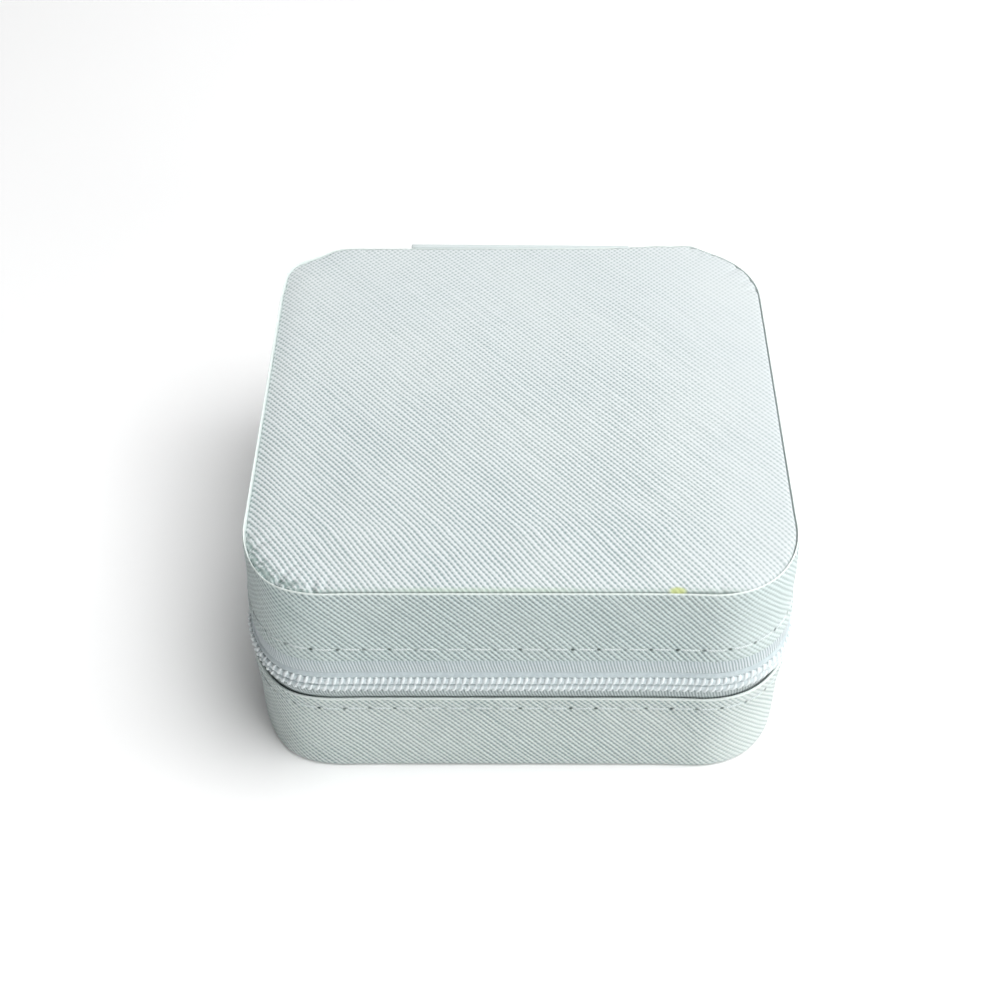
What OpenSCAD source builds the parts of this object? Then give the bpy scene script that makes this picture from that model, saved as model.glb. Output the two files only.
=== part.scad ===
// Square zip-around travel jewellery box: a leather-covered base and lid joined by a leather
// hinge strip, with a coil zipper on the other three sides, ring rolls and dividers in the base,
// and necklace straps and an elastic pocket in the lid.
// Millimetres. +Z up, the zipper's front at -Y, the hinge at +Y, the origin at the middle of the
// underside.

/* [Box] */
// Width and depth over the lid's rim
box_w = 100; // [96:1:112]
// Height of the closed box
box_h = 50; // [49:0.5:56]
// Radius of the rim's corners
corner_r = 17; // [15:1:20]
// How far the leather walls stand outside the rim line
wall_swell = 0.6; // [0.4:0.1:0.8]
// Height of the zipper's centre line
seam_z = 25.5; // [25:0.5:27]

/* [Walls] */
// Thickness of the leather on the walls
leather_t = 1.2; // [1:0.1:1.4]
// Thickness of the cardboard stiffeners
board_t = 1.6; // [1.2:0.1:1.8]
// Thickness of the velvet lining
lining_t = 0.6; // [0.4:0.1:0.8]
// Thickness of the leather rim that stands round the padded top
rim_t = 0.6; // [0.4:0.1:0.8]
// Height of the base leather's edge below the zipper's centre line
base_edge_drop = 4.8; // [4.4:0.1:5.5]
// Height of the lid leather's edge above the zipper's centre line
lid_edge_rise = 6.4; // [6:0.1:7]

/* [Zipper] */
// Thickness of the zipper tape
tape_t = 0.6; // [0.5:0.1:0.7]
// Width of one tape, from the zipper's centre line
tape_w = 11.5; // [10:0.5:13]
// Height of one row of the coil
coil_h = 2; // [1.8:0.1:2.2]
// Thickness of the coil, outwards from the tape
coil_t = 2; // [1.8:0.1:2.2]
// Gap between the two rows, where the slider's bridge runs
coil_gap = 1.2; // [1.2:0.1:1.4]
// Place of the slider along the right-hand side when the box is shut
slider_y = 28; // [20:1:29]
// Length of the slider
slider_l = 8.4; // [7.6:0.2:8.8]

/* [Hinge] */
// Half the width of the leather hinge strip
strip_half = 23.4; // [20:0.2:26]
// Thickness of the hinge strip
strip_t = 0.8; // [0.7:0.1:0.8]

/* [Base interior] */
// Number of ring rolls
roll_count = 8; // [6:1:9]
// Height of the rolls and dividers
inside_h = 16; // [14:0.5:16]
// Front face of the partition that holds the ring rolls
partition_y = 3.6; // [0:0.2:8]
// Thickness of the partition and the dividers
divider_t = 2; // [1.6:0.2:2.4]
// Distance of each divider from the middle
divider_x = 15.5; // [14:0.5:16]

/* [Lid interior] */
// Distance between two necklace straps
strap_pitch = 25; // [24:0.5:27]
// Width of a strap
strap_w = 12; // [10:0.5:12]
// Place of the snap fasteners
snap_y = -25; // [-27:0.5:-24]
// Place of the pocket's mouth
pocket_y = -6; // [-10:0.5:-2]
// Depth of the pocket under the ceiling
pocket_d = 5.6; // [5:0.2:6]

/* [Hidden] */
$fn = 96;
SIDES = ["left", "mid", "right"];

// Half-widths of the layers, from the outside in
wall_half = box_w / 2 + wall_swell;
tape_half = wall_half - leather_t;
board_half = tape_half - tape_t;
lining_half = board_half - board_t;
inner_half = lining_half - lining_t;

// Heights in the base, from the ground up
cover_t = 0.9;
skirt_z = 0.2;
floor_z = cover_t + board_t;
floor_top = floor_z + lining_t;
base_edge_z = seam_z - base_edge_drop;
base_board_top = base_edge_z - 0.5;
base_lining_top = base_edge_z - 0.3;

// Heights in the lid, from the top down
pad_bottom = box_h - 1.8;
pad_t = 0.8;
top_cover_z = box_h - 0.2;
top_board_z = pad_bottom - board_t;
ceiling_z = top_board_z - lining_t;
lid_edge_z = seam_z + lid_edge_rise;
lid_board_bottom = lid_edge_z + 0.5;
lid_lining_bottom = lid_edge_z + 0.3;
top_half = wall_half - rim_t - 0.3;

// The zipper: the tapes end under the hinge strip, the coils at its edges
coil_out = tape_half + coil_t;
tape_end = strip_half - 3.4;
stop_w = 1.2;
coil_end = strip_half + 0.6 + stop_w;
lower_top = seam_z - coil_gap / 2;
upper_bottom = seam_z + coil_gap / 2;

// The slider: two plates joined by a bridge, and a bail for the pull's crossbar
slider_clear = 0.3;
slider_w = 6.2;
inner_plate_t = 0.6;
outer_plate_t = 0.7;
bridge_h = coil_gap - 2 * slider_clear;
outer_plate_x = coil_out + slider_clear;
inner_plate_x = board_half - slider_clear - inner_plate_t;
plate_face = outer_plate_x + outer_plate_t;
bail_gap = 1.2;
bail_t = 0.5;
bail_half = 3.2;
bail_w = 1.2;
pull_x = plate_face + bail_gap / 2;
pull_t = 0.9;
pull_l = 20;
pull_w = 5.6;
pull_window = 4.4;

// The hinge strip and its axis, on the strip's outer face
strip_out = wall_half + strip_t;
strip_gap = 0.3;
strip_bottom = 2;

// The ring rolls, side by side behind the partition
inside_clear = 0.2;
moving_clear = 0.3;
roll_pitch = 2 * (inner_half - inside_clear) / roll_count;
roll_w = roll_pitch - 0.3;

// The necklace straps and their snap fasteners
strap_t = 0.8;
strap_root = -40;
anchor_l = 4;
strap_bottom = ceiling_z - 2.3;
stud_disc_t = 0.4;
stud_r = 3.2;
post_r = 1.6;
post_l = 0.7;
cap_r = 4.4;
cap_t = 0.8;
rivet_r = 1.2;
socket_h = 0.9;
socket_bore_r = 1.95;

// The elastic pocket
pocket_half = inner_half - 3;
pocket_t = 0.8;
hem_l = 3.5;
hem_t = 1.2;

leather_colour = "#c9d6d6";
board_colour = "#b7a98f";
velvet_colour = "#d5dedd";
coil_colour = "#e2ecec";
metal_colour = "#c8cacc";

// Outline of the box at a given half-width, its corners concentric at every width
module outline(half) {
    r = corner_r + half - box_w / 2;
    c = half - r;
    square([2 * half, 2 * c], center = true);
    square([2 * c, 2 * half], center = true);
    for (x = [-c, c], y = [-c, c]) translate([x, y]) circle(r);
}

module slab(half, z0, z1) {
    translate([0, 0, z0]) linear_extrude(z1 - z0) outline(half);
}

module band(outer, inner, z0, z1) {
    difference() {
        slab(outer, z0, z1);
        slab(inner, z0 - 1, z1 + 1);
    }
}

// A band that is open in the middle of the back, as the zipper is
module open_band(outer, inner, z0, z1, gap_half) {
    difference() {
        band(outer, inner, z0, z1);
        translate([-gap_half, 0, z0 - 2]) cube([2 * gap_half, box_w, z1 - z0 + 4]);
    }
}

// Everything of a part on the hinge side of a line across the box
module behind(y) {
    intersection() {
        children();
        translate([-box_w, y, -1]) cube([2 * box_w, box_w, box_h + 2]);
    }
}

// A plate in the YZ plane, standing at x
module side_plate(x, t) {
    translate([x, 0, 0]) rotate([90, 0, 90]) linear_extrude(t) children();
}

/* Base */

module base_bottom_cover() {
    color(leather_colour) slab(board_half, 0, cover_t);
}

module base_bottom_board() {
    color(board_colour) slab(board_half, cover_t, floor_z);
}

module base_wall_board() {
    color(board_colour) band(board_half, lining_half, floor_z, base_board_top);
}

module base_leather_wall() {
    color(leather_colour) difference() {
        band(wall_half, board_half, skirt_z, base_edge_z);
        band(tape_half, board_half - 1, seam_z - tape_w, base_edge_z + 1);
    }
}

module base_floor_lining() {
    color(velvet_colour) slab(inner_half, floor_z, floor_top);
}

module base_wall_lining() {
    color(velvet_colour) band(lining_half, inner_half, floor_z, base_lining_top);
}

module ring_partition() {
    w = inner_half - inside_clear;
    color(velvet_colour) translate([-w, partition_y, floor_top]) cube([2 * w, divider_t, inside_h]);
}

// One velvet roll of foam, n counted from the left; the end rolls follow the box's corners
module ring_roll(n) {
    x = (n - (roll_count + 1) / 2) * roll_pitch;
    r = roll_w / 2;
    y0 = partition_y + divider_t + inside_clear;
    color(velvet_colour) intersection() {
        translate([x, inner_half, floor_top]) rotate([90, 0, 0]) linear_extrude(inner_half - y0) {
            translate([0, inside_h - r]) circle(r);
            translate([-r, 0]) square([roll_w, inside_h - r]);
        }
        slab(inner_half - inside_clear, 0, box_h);
    }
}

module divider(side) {
    y0 = -inner_half + 1;
    color(velvet_colour)
        translate([side * divider_x - divider_t / 2, y0, floor_top + moving_clear])
            cube([divider_t, partition_y - moving_clear - y0, inside_h - moving_clear]);
}

module hinge_strip_lower() {
    z1 = seam_z - strip_gap;
    color(leather_colour) translate([-strip_half, wall_half, strip_bottom])
        cube([2 * strip_half, strip_t, z1 - strip_bottom]);
}

/* Zipper */

module zipper_tape_lower() {
    color(coil_colour) open_band(tape_half, board_half, seam_z - tape_w, lower_top, tape_end);
}

module zipper_tape_upper() {
    color(coil_colour) open_band(tape_half, board_half, upper_bottom, seam_z + tape_w, tape_end);
}

module zipper_coil_lower() {
    color(coil_colour) open_band(coil_out, tape_half, lower_top - coil_h, lower_top, coil_end);
}

module zipper_coil_upper() {
    color(coil_colour) open_band(coil_out, tape_half, upper_bottom, upper_bottom + coil_h, coil_end);
}

// The two metal stops where the coil ends beside the hinge strip
module zipper_stops() {
    color(metal_colour) for (x = [-coil_end, coil_end - stop_w])
        translate([x, tape_half, lower_top - coil_h]) cube([stop_w, coil_t, coil_h]);
}

// Outline of a slider plate: a round nose towards the hinge and a straight tail
module slider_outline() {
    nose = slider_w / 2;
    translate([slider_l / 2 - nose, 0]) circle(nose);
    translate([-slider_l / 2, -slider_w / 2 + 0.5]) square([slider_l - nose, slider_w - 1]);
}

module zipper_slider() {
    flange_z = lower_top - coil_h - slider_clear;
    color(metal_colour) {
        translate([0, slider_y, seam_z]) {
            side_plate(inner_plate_x, inner_plate_t) slider_outline();
            side_plate(outer_plate_x, outer_plate_t) slider_outline();
            // bridge between the plates, in the gap between the rows
            translate([inner_plate_x, slider_l / 2 - 3, -bridge_h / 2])
                cube([plate_face - inner_plate_x, 2, bridge_h]);
            // bail: two feet and a bar along the slider
            for (y = [-bail_half, bail_half - 0.8])
                translate([plate_face - 0.1, y, -bail_w / 2])
                    cube([bail_gap + bail_t + 0.1, 0.8, bail_w]);
            translate([plate_face + bail_gap, -bail_half, -bail_w / 2])
                cube([bail_t, 2 * bail_half, bail_w]);
        }
        // flange that hooks under the lower row
        translate([tape_half + slider_clear, slider_y - slider_l / 2, flange_z - 0.6])
            cube([plate_face - tape_half - slider_clear, slider_l - slider_w / 2, 0.6]);
    }
}

// The pull lies along the zipper; its crossbar turns under the bail
module zipper_pull() {
    arm = 1;
    hole_r = 1.2;
    end_r = pull_w / 2;
    color(metal_colour) translate([pull_x, slider_y, seam_z]) {
        translate([0, 0, -pull_w / 2]) cylinder(h = pull_w, r = pull_t / 2);
        difference() {
            side_plate(-pull_t / 2, pull_t) {
                translate([end_r - pull_l, 0]) circle(end_r);
                translate([end_r - pull_l, -end_r]) square([pull_l - end_r, pull_w]);
            }
            translate([-1, -pull_window, arm - end_r]) cube([2, pull_window + 1, pull_w - 2 * arm]);
            translate([-1, end_r - pull_l, 0]) rotate([0, 90, 0]) cylinder(h = 2, r = hole_r);
        }
    }
}

/* Lid */

module lid_top_cover() {
    color(leather_colour) difference() {
        slab(top_half, pad_bottom, top_cover_z);
        slab(top_half - 0.7, pad_bottom - 1, pad_bottom + pad_t);
    }
}

module lid_top_pad() {
    color("#eeeeea") slab(top_half - 0.7, pad_bottom, pad_bottom + pad_t);
}

module lid_top_board() {
    color(board_colour) slab(board_half, top_board_z, pad_bottom);
}

module lid_wall_board() {
    color(board_colour) band(board_half, lining_half, lid_board_bottom, top_board_z);
}

module lid_leather_wall() {
    color(leather_colour) difference() {
        union() {
            band(wall_half, board_half, lid_edge_z, pad_bottom);
            band(wall_half, wall_half - rim_t, pad_bottom - 0.1, box_h);
        }
        band(tape_half, board_half - 1, lid_edge_z - 1, seam_z + tape_w);
    }
}

module lid_wall_lining() {
    color(velvet_colour) band(lining_half, inner_half, lid_lining_bottom, top_board_z);
}

module lid_ceiling_lining() {
    color(velvet_colour) slab(inner_half, ceiling_z, top_board_z);
}

module hinge_strip_upper() {
    z0 = seam_z + strip_gap;
    color(leather_colour) translate([-strip_half, wall_half, z0])
        cube([2 * strip_half, strip_t, box_h - z0]);
}

// A pouch of cloth against the ceiling, open towards the front
module pouch(y, t, depth) {
    behind(y) difference() {
        slab(pocket_half, ceiling_z - depth, ceiling_z);
        slab(pocket_half - t, ceiling_z - depth + t, ceiling_z + 1);
    }
}

module elastic_pocket() {
    color(velvet_colour) pouch(pocket_y + hem_l, pocket_t, pocket_d);
}

module pocket_hem() {
    color(velvet_colour) difference() {
        pouch(pocket_y, hem_t, pocket_d + 0.2);
        translate([-box_w, pocket_y + hem_l, 0]) cube([2 * box_w, box_w, box_h + 1]);
    }
}

module strap_anchors() {
    color(leather_colour) for (side = [-1:1])
        translate([side * strap_pitch - strap_w / 2, strap_root - anchor_l, strap_bottom])
            cube([strap_w, anchor_l, ceiling_z - strap_bottom]);
}

module snap_studs() {
    color(metal_colour) for (side = [-1:1]) translate([side * strap_pitch, snap_y, 0]) {
        translate([0, 0, ceiling_z - stud_disc_t]) cylinder(h = stud_disc_t, r = stud_r);
        translate([0, 0, ceiling_z - stud_disc_t - post_l])
            cylinder(h = post_l + stud_disc_t / 2, r = post_r);
    }
}

module strap(side) {
    r = strap_w / 2;
    root = strap_root + moving_clear;
    color(leather_colour) translate([side * strap_pitch, 0, strap_bottom]) difference() {
        linear_extrude(strap_t) {
            translate([0, snap_y]) circle(r);
            translate([-r, root]) square([strap_w, snap_y - root]);
        }
        translate([0, snap_y, -1]) cylinder(h = strap_t + 2, r = rivet_r);
    }
}

// Cap, rivet and socket of one snap fastener; the socket takes the stud's post
module snap_cap(side) {
    socket_z = strap_bottom + strap_t;
    color(metal_colour) translate([side * strap_pitch, snap_y, 0]) difference() {
        union() {
            translate([0, 0, strap_bottom - cap_t]) cylinder(h = cap_t, r = cap_r);
            translate([0, 0, strap_bottom - 0.1]) cylinder(h = strap_t + 0.2, r = rivet_r);
            translate([0, 0, socket_z]) cylinder(h = socket_h, r = stud_r);
        }
        translate([0, 0, socket_z + 0.2]) cylinder(h = socket_h, r = socket_bore_r);
    }
}

base_bottom_cover();
base_bottom_board();
base_wall_board();
base_leather_wall();
base_floor_lining();
base_wall_lining();
ring_partition();
for (n = [1:roll_count]) ring_roll(n);
divider(-1);  // divider_left
divider(1);  // divider_right
zipper_tape_lower();
zipper_coil_lower();
zipper_stops();
hinge_strip_lower();
lid_top_cover();
lid_top_pad();
lid_top_board();
lid_wall_board();
lid_leather_wall();
lid_wall_lining();
lid_ceiling_lining();
elastic_pocket();
pocket_hem();
strap_anchors();
snap_studs();
for (k = [0:2]) strap(k - 1);
for (k = [0:2]) snap_cap(k - 1);
zipper_tape_upper();
zipper_coil_upper();
hinge_strip_upper();
zipper_slider();
zipper_pull();
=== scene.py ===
"""The looks of a square zip-around travel jewellery box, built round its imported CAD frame.

Blender works in metres; the sizes below are millimetres times MM. The box stands on z = 0 with the
zipper's front towards -Y and the hinge strip towards +Y. Most pieces are carried along the rim line,
the outline of the lid's rim, so a place on them is (s, offset, z): the distance along the rim line
from the middle of the back, the distance outwards from it, and the height.
"""

import math
import random

import bmesh
import bpy
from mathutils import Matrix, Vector, noise


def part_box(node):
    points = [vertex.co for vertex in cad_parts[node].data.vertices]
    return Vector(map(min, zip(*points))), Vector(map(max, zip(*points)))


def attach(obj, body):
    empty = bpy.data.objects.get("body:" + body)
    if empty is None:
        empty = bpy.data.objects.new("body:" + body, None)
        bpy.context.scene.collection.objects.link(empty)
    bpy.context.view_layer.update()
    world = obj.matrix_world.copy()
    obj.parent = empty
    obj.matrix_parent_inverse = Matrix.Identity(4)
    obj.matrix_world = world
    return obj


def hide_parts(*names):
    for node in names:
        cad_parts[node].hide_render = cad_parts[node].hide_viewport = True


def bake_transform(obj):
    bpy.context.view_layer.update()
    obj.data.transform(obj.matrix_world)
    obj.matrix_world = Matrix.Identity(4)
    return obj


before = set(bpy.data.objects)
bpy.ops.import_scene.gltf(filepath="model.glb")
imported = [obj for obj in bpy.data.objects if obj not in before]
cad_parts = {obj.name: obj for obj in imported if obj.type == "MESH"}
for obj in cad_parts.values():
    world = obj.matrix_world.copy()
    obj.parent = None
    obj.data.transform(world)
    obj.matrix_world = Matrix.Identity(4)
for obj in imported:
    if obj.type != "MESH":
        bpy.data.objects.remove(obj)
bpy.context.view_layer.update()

MM = 0.001
TAU = 2 * math.pi

# ---------------------------------------------------------------- driving sizes

WALL_SWELL = 0.6 * MM  # how far the CAD walls stand outside the rim line
CORNER = 17 * MM  # the rim line's corner radius
WALL_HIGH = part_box("lid_leather_wall")[1]
RIM = WALL_HIGH[0] - WALL_SWELL
TOP = WALL_HIGH[2]
STRIP_LOW, STRIP_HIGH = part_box("hinge_strip_upper")
STRIP_HALF = STRIP_HIGH[0]
SEAM = (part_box("zipper_coil_upper")[0][2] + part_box("zipper_coil_lower")[1][2]) / 2
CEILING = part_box("lid_ceiling_lining")[0][2]
TAPE_END = 20 * MM  # the tapes stop this far from the middle of the back
STRAIGHT = 2 * (RIM - CORNER)
QUARTER = CORNER * TAU / 4
PERIMETER = 4 * (STRAIGHT + QUARTER)

STITCH = 4.7 * MM
LID_STITCH_Z = 35.1 * MM
BASE_STITCH_Z = 17.9 * MM
COIL_PITCH = 1.25 * MM
LINING_CORNER = 13 * MM  # the wall linings' corner radius in plan


def mm(*values):
    """Millimetre values in metres."""
    return tuple(v * MM for v in values)


def smoothstep(a, b, x):
    """From 0 at a to 1 at b, level at both ends."""
    t = max(0.0, min(1.0, (x - a) / (b - a)))
    return t * t * (3 - 2 * t)


def ripple(x, y, seed, size_x, size_y):
    """Smooth noise from about -1 to 1, with waves of the given sizes."""
    return noise.noise(Vector((x / size_x, y / size_y, seed))) * 1.6


# ---------------------------------------------------------------- the rim line


def rim_point(s):
    """The point and outward normal s metres along the rim line."""
    side, t = divmod((s + STRAIGHT / 2) % PERIMETER, STRAIGHT + QUARTER)
    if t < STRAIGHT:
        normal = Vector((0, 1, 0))
        point = Vector((STRAIGHT / 2 - t, RIM, 0))
    else:
        turn = (t - STRAIGHT) / CORNER
        normal = Vector((-math.sin(turn), math.cos(turn), 0))
        point = Vector((-STRAIGHT / 2, STRAIGHT / 2, 0)) + normal * CORNER
    for _ in range(int(side)):
        point = Vector((-point.y, point.x, 0))
        normal = Vector((-normal.y, normal.x, 0))
    return point, normal


def stations(step=1.5 * MM, corner_steps=20, start=None, end=None):
    """Distances along the rim line, all round or from start to end, evenly spaced on each stretch."""
    stretches = [STRAIGHT / 2] + [QUARTER, STRAIGHT] * 3 + [QUARTER, STRAIGHT / 2]
    marks = [0.0]
    for k, length in enumerate(stretches):
        count = corner_steps if k % 2 else max(1, round(length / step))
        marks += [marks[-1] + length / count * (i + 1) for i in range(count)]
    if start is None:
        return marks[:-1]
    return [start] + [m for m in marks if start + 0.1 * MM < m < end - 0.1 * MM] + [end]


def along(s):
    """The pattern's coordinate along the walls, zero at the middle of the front."""
    return s - PERIMETER / 2


def strip_cover(s):
    """1 under the hinge strip, where it holds the walls flat, and 0 elsewhere."""
    from_back = min(s % PERIMETER, PERIMETER - s % PERIMETER)
    return 1 - smoothstep(STRIP_HALF, STRIP_HALF + 6 * MM, from_back)


# How far the soft layers lean outwards on each side: pairs of height and distance, in millimetres
LEAN_LEFT = (
    (0, 0.3), (12, 0.1), (20, 0.2), (27, 0.1), (32, -0.25),
    (38, -0.5), (44, -0.45), (48, -0.15), (50, 0.0),
)
LEAN_RIGHT = ((0, -0.6), (12, -0.5), (20, 0.0), (27, 0.0), (32, -0.2), (36, -0.5), (45, 0.0), (50, 0.0))
LEAN_FRONT = (
    (0, -0.7), (12, -1.0), (20, -1.3), (26, -0.9),
    (32, -1.2), (38, -1.1), (46, -0.5), (50, -0.2),
)
# Where the corners are fuller than an arc: place along the rim line, extent and height, in millimetres
FULL = (
    (39.5, 2.6, 0.75),
    (49.6, 3.2, 1.75),
    (141.5, 5.0, 1.0),
    (229.0, 7.0, 0.75),
    (334.5, 1.8, 0.9),
    (342.0, 5.0, 0.85),
)


def between(table, x):
    """The table's value at x, along straight lines between its pairs."""
    if x <= table[0][0]:
        return table[0][1]
    for (x0, y0), (x1, y1) in zip(table, table[1:]):
        if x <= x1:
            return y0 + (y1 - y0) * (x - x0) / (x1 - x0)
    return table[-1][1]


def fullness(s, z):
    """How far the corners stand outside the rim line."""
    s = (s % PERIMETER) / MM
    behind = s < 90 or s > 280
    grip = smoothstep(36 * MM, 47 * MM, z) if behind else 1.0
    return grip * sum(h * math.exp(-(((s - at) / size) ** 2) / 2) for at, size, h in FULL) * MM


def settle(s, offset, z):
    """The offset of a soft layer: leaning, uneven near the zipper, and flat under the hinge strip."""
    cover = strip_cover(s)
    held = 0.3 * MM
    normal = rim_point(s)[1]
    lean = between(LEAN_LEFT if normal.x < 0 else LEAN_RIGHT, z / MM) * normal.x**2
    lean += between(LEAN_FRONT, z / MM) * min(0.0, normal.y) ** 2
    lean *= max(0.0, min(1.0, (offset / MM + 1.3) / 2.0))
    offset += lean * MM + fullness(s, z) * smoothstep(-4 * MM, -1 * MM, offset)
    if offset > held:
        offset = held + (offset - held) * (1 - 0.85 * cover)
    near_seam = max(0.0, 1 - abs(z - SEAM) / (22 * MM))
    wave = ripple(along(s), z, 3.1, 15 * MM, 12 * MM) * 0.16 * MM
    wave += ripple(along(s), z, 8.7, 6 * MM, 9 * MM) * 0.06 * MM
    return offset + wave * near_seam * (1 - cover) * smoothstep(0, 0.5 * MM, offset)


def at(s, offset, z):
    """The point of the row frame at a place on the box."""
    point, normal = rim_point(s)
    return point + normal * offset + Vector((0, 0, z))


# ---------------------------------------------------------------- mesh helpers


def linked(name, data):
    """A new object in the scene."""
    obj = bpy.data.objects.new(name, data)
    bpy.context.scene.collection.objects.link(obj)
    return obj


def smoothed(name, bm):
    """A smooth object from a bmesh, which is used up."""
    mesh = bpy.data.meshes.new(name)
    bm.to_mesh(mesh)
    bm.free()
    mesh.polygons.foreach_set("use_smooth", [True] * len(mesh.polygons))
    return linked(name, mesh)


def new_object(name, verts, faces, uvs=None):
    """A smooth mesh object; uvs gives each vertex a pattern coordinate in metres."""
    mesh = bpy.data.meshes.new(name)
    mesh.from_pydata([tuple(v) for v in verts], [], faces)
    if uvs is not None:
        layer = mesh.uv_layers.new(name="pattern")
        for loop in mesh.loops:
            u, v = uvs[loop.vertex_index]
            layer.data[loop.index].uv = (u / MM, v / MM)
    mesh.polygons.foreach_set("use_smooth", [True] * len(mesh.polygons))
    return linked(name, mesh)


def outward(obj):
    """Turns every face of a closed mesh outwards."""
    bm = bmesh.new()
    bm.from_mesh(obj.data)
    bmesh.ops.recalc_face_normals(bm, faces=bm.faces)
    bm.to_mesh(obj.data)
    bm.free()
    return obj


def bevelled(obj, width):
    """Rounds the sharp edges of a piece."""
    bevel = obj.modifiers.new("bevel", "BEVEL")
    bevel.width = width
    bevel.segments = 2
    bevel.limit_method = "ANGLE"
    bevel.angle_limit = math.radians(35)
    graph = bpy.context.evaluated_depsgraph_get()
    mesh = bpy.data.meshes.new_from_object(obj.evaluated_get(graph))
    obj.modifiers.clear()
    obj.data = mesh


def curve_through(points):
    """A smooth line through the points (Catmull-Rom), as tuples."""
    out = []
    last = len(points) - 1
    per_span = 4
    for i in range(last):
        span = points[max(0, i - 1)], points[i], points[i + 1], points[min(last, i + 2)]
        for k in range(per_span):
            t = k / per_span
            weights = (
                (-t + 2 * t * t - t**3) / 2,
                (2 - 5 * t * t + 3 * t**3) / 2,
                (t + 4 * t * t - 3 * t**3) / 2,
                (-t * t + t**3) / 2,
            )
            out.append(tuple(sum(w * p[a] for w, p in zip(weights, span)) for a in range(len(points[0]))))
    return out + [tuple(points[-1])]


def bands(rows, around, start=0):
    """The faces between neighbouring rings of points, ring after ring, from the point start on."""
    faces = []
    for first in range(start, start + (rows - 1) * around, around):
        for k in range(around):
            a, b = first + k, first + (k + 1) % around
            faces.append((a, b, b + around, a + around))
    return faces


def section(soft, hard=()):
    """A closed cross-section in metres: a smooth line through soft, then straight lines through hard."""
    return [mm(*p) for p in curve_through(soft)] + [mm(*p) for p in hard]


def sweep(name, profile, marks, closed=True, level=0.0, soft=True):
    """A closed solid: a cross-section of (offset, z) carried along the rim line.

    The pattern's second coordinate runs along the section, and equals z at the height level.
    A soft one settles.
    """
    count, n = len(profile), len(marks)
    run = [0.0]
    for a, b in zip(profile, profile[1:]):
        run.append(run[-1] + math.dist(a, b))
    round_it = run[-1] + math.dist(profile[-1], profile[0])
    zero, way = 0.0, 1
    for (_, z0), (_, z1), r in zip(profile, profile[1:], run):
        if (z0 - level) * (z1 - level) <= 0:
            way = 1 if z1 > z0 else -1
            zero = level - way * (r + abs(level - z0))
            break
    verts = [at(s, settle(s, o, z) if soft else o, z) for s in marks for o, z in profile]
    stretches = n if closed else n - 1
    faces, uvs = [], []
    for i in range(stretches):
        j = (i + 1) % n
        u = along(marks[i]), along(marks[j] if j else PERIMETER + marks[0])
        for k in range(count):
            m = (k + 1) % count
            v = zero + way * run[k], zero + way * (run[m] if m else round_it)
            faces.append((i * count + k, j * count + k, j * count + m, i * count + m))
            uvs += [(u[0], v[0]), (u[1], v[0]), (u[1], v[1]), (u[0], v[1])]
    if not closed:
        for i in (0, n - 1):
            faces.append(tuple(range(i * count, (i + 1) * count)))
            uvs += [(along(marks[i]) + o, z) for o, z in profile]
    obj = new_object(name, verts, faces)
    layer = obj.data.uv_layers.new(name="pattern")
    layer.data.foreach_set("uv", [c / MM for uv in uvs for c in uv])
    return outward(obj)


def grid(name, rows, columns, place, across, along):
    """A closed solid between two surfaces.

    place gives a point from its row, its column and whether it is on the outer surface. The axes
    across and along of the inner one are the pattern's coordinates.
    """
    cells = [(r, c) for r in range(rows) for c in range(columns)]
    inner = [place(r, c, False) for r, c in cells]
    verts = [place(r, c, True) for r, c in cells] + inner
    uvs = [(p[across], p[along]) for p in inner] * 2
    back = rows * columns
    faces = []
    for r in range(rows - 1):
        for c in range(columns - 1):
            a = r * columns + c
            quad = (a, a + 1, a + columns + 1, a + columns)
            faces.append(quad)
            faces.append(tuple(back + v for v in reversed(quad)))
    border = [(0, c) for c in range(columns)]
    border += [(r, columns - 1) for r in range(1, rows)]
    border += [(rows - 1, c) for c in range(columns - 2, -1, -1)]
    border += [(r, 0) for r in range(rows - 2, 0, -1)]
    loop = [r * columns + c for r, c in border]
    for a, b in zip(loop, loop[1:] + loop[:1]):
        faces.append((a, b, back + b, back + a))
    return outward(new_object(name, verts, faces, uvs))


def tubes(name, lines, radius, sides=6):
    """Round strands along lines of points, as one mesh; radius is a function of 0 to 1 along a strand."""
    verts, faces, uvs = [], [], []
    for points in lines:
        start = len(verts)
        count = len(points)
        up = None
        for i, p in enumerate(points):
            ahead = (points[min(i + 1, count - 1)] - points[max(i - 1, 0)]).normalized()
            if up is None:
                up = ahead.orthogonal()
            up = (up - ahead * up.dot(ahead)).normalized()
            side = ahead.cross(up)
            r = radius(i / (count - 1))
            for k in range(sides):
                turn = TAU * k / sides
                away = up * math.cos(turn) + side * math.sin(turn)
                verts.append(p + away * r)
                uvs.append((i / count, k / sides))
        faces += bands(count, sides, start)
        faces.append(tuple(start + k for k in reversed(range(sides))))
        faces.append(tuple(start + (count - 1) * sides + k for k in range(sides)))
    return new_object(name, verts, faces, uvs)


def lathe(name, profile, centre):
    """A solid of revolution about Z through centre, from (radius, z) points that start and end at 0."""
    segments = 40
    verts, faces = [], []
    for r, z in profile:
        if r == 0:
            verts.append(Vector((centre[0], centre[1], z)))
            continue
        for k in range(segments):
            turn = TAU * k / segments
            verts.append(Vector((centre[0] + r * math.cos(turn), centre[1] + r * math.sin(turn), z)))
    first, last, rings = 0, len(verts) - 1, len(profile) - 2
    for k in range(segments):
        m = (k + 1) % segments
        faces.append((first, 1 + m, 1 + k))
        for i in range(rings - 1):
            a, b = 1 + i * segments, 1 + (i + 1) * segments
            faces.append((a + k, a + m, b + m, b + k))
        end = 1 + (rings - 1) * segments
        faces.append((last, end + k, end + m))
    return outward(new_object(name, verts, faces))


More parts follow.
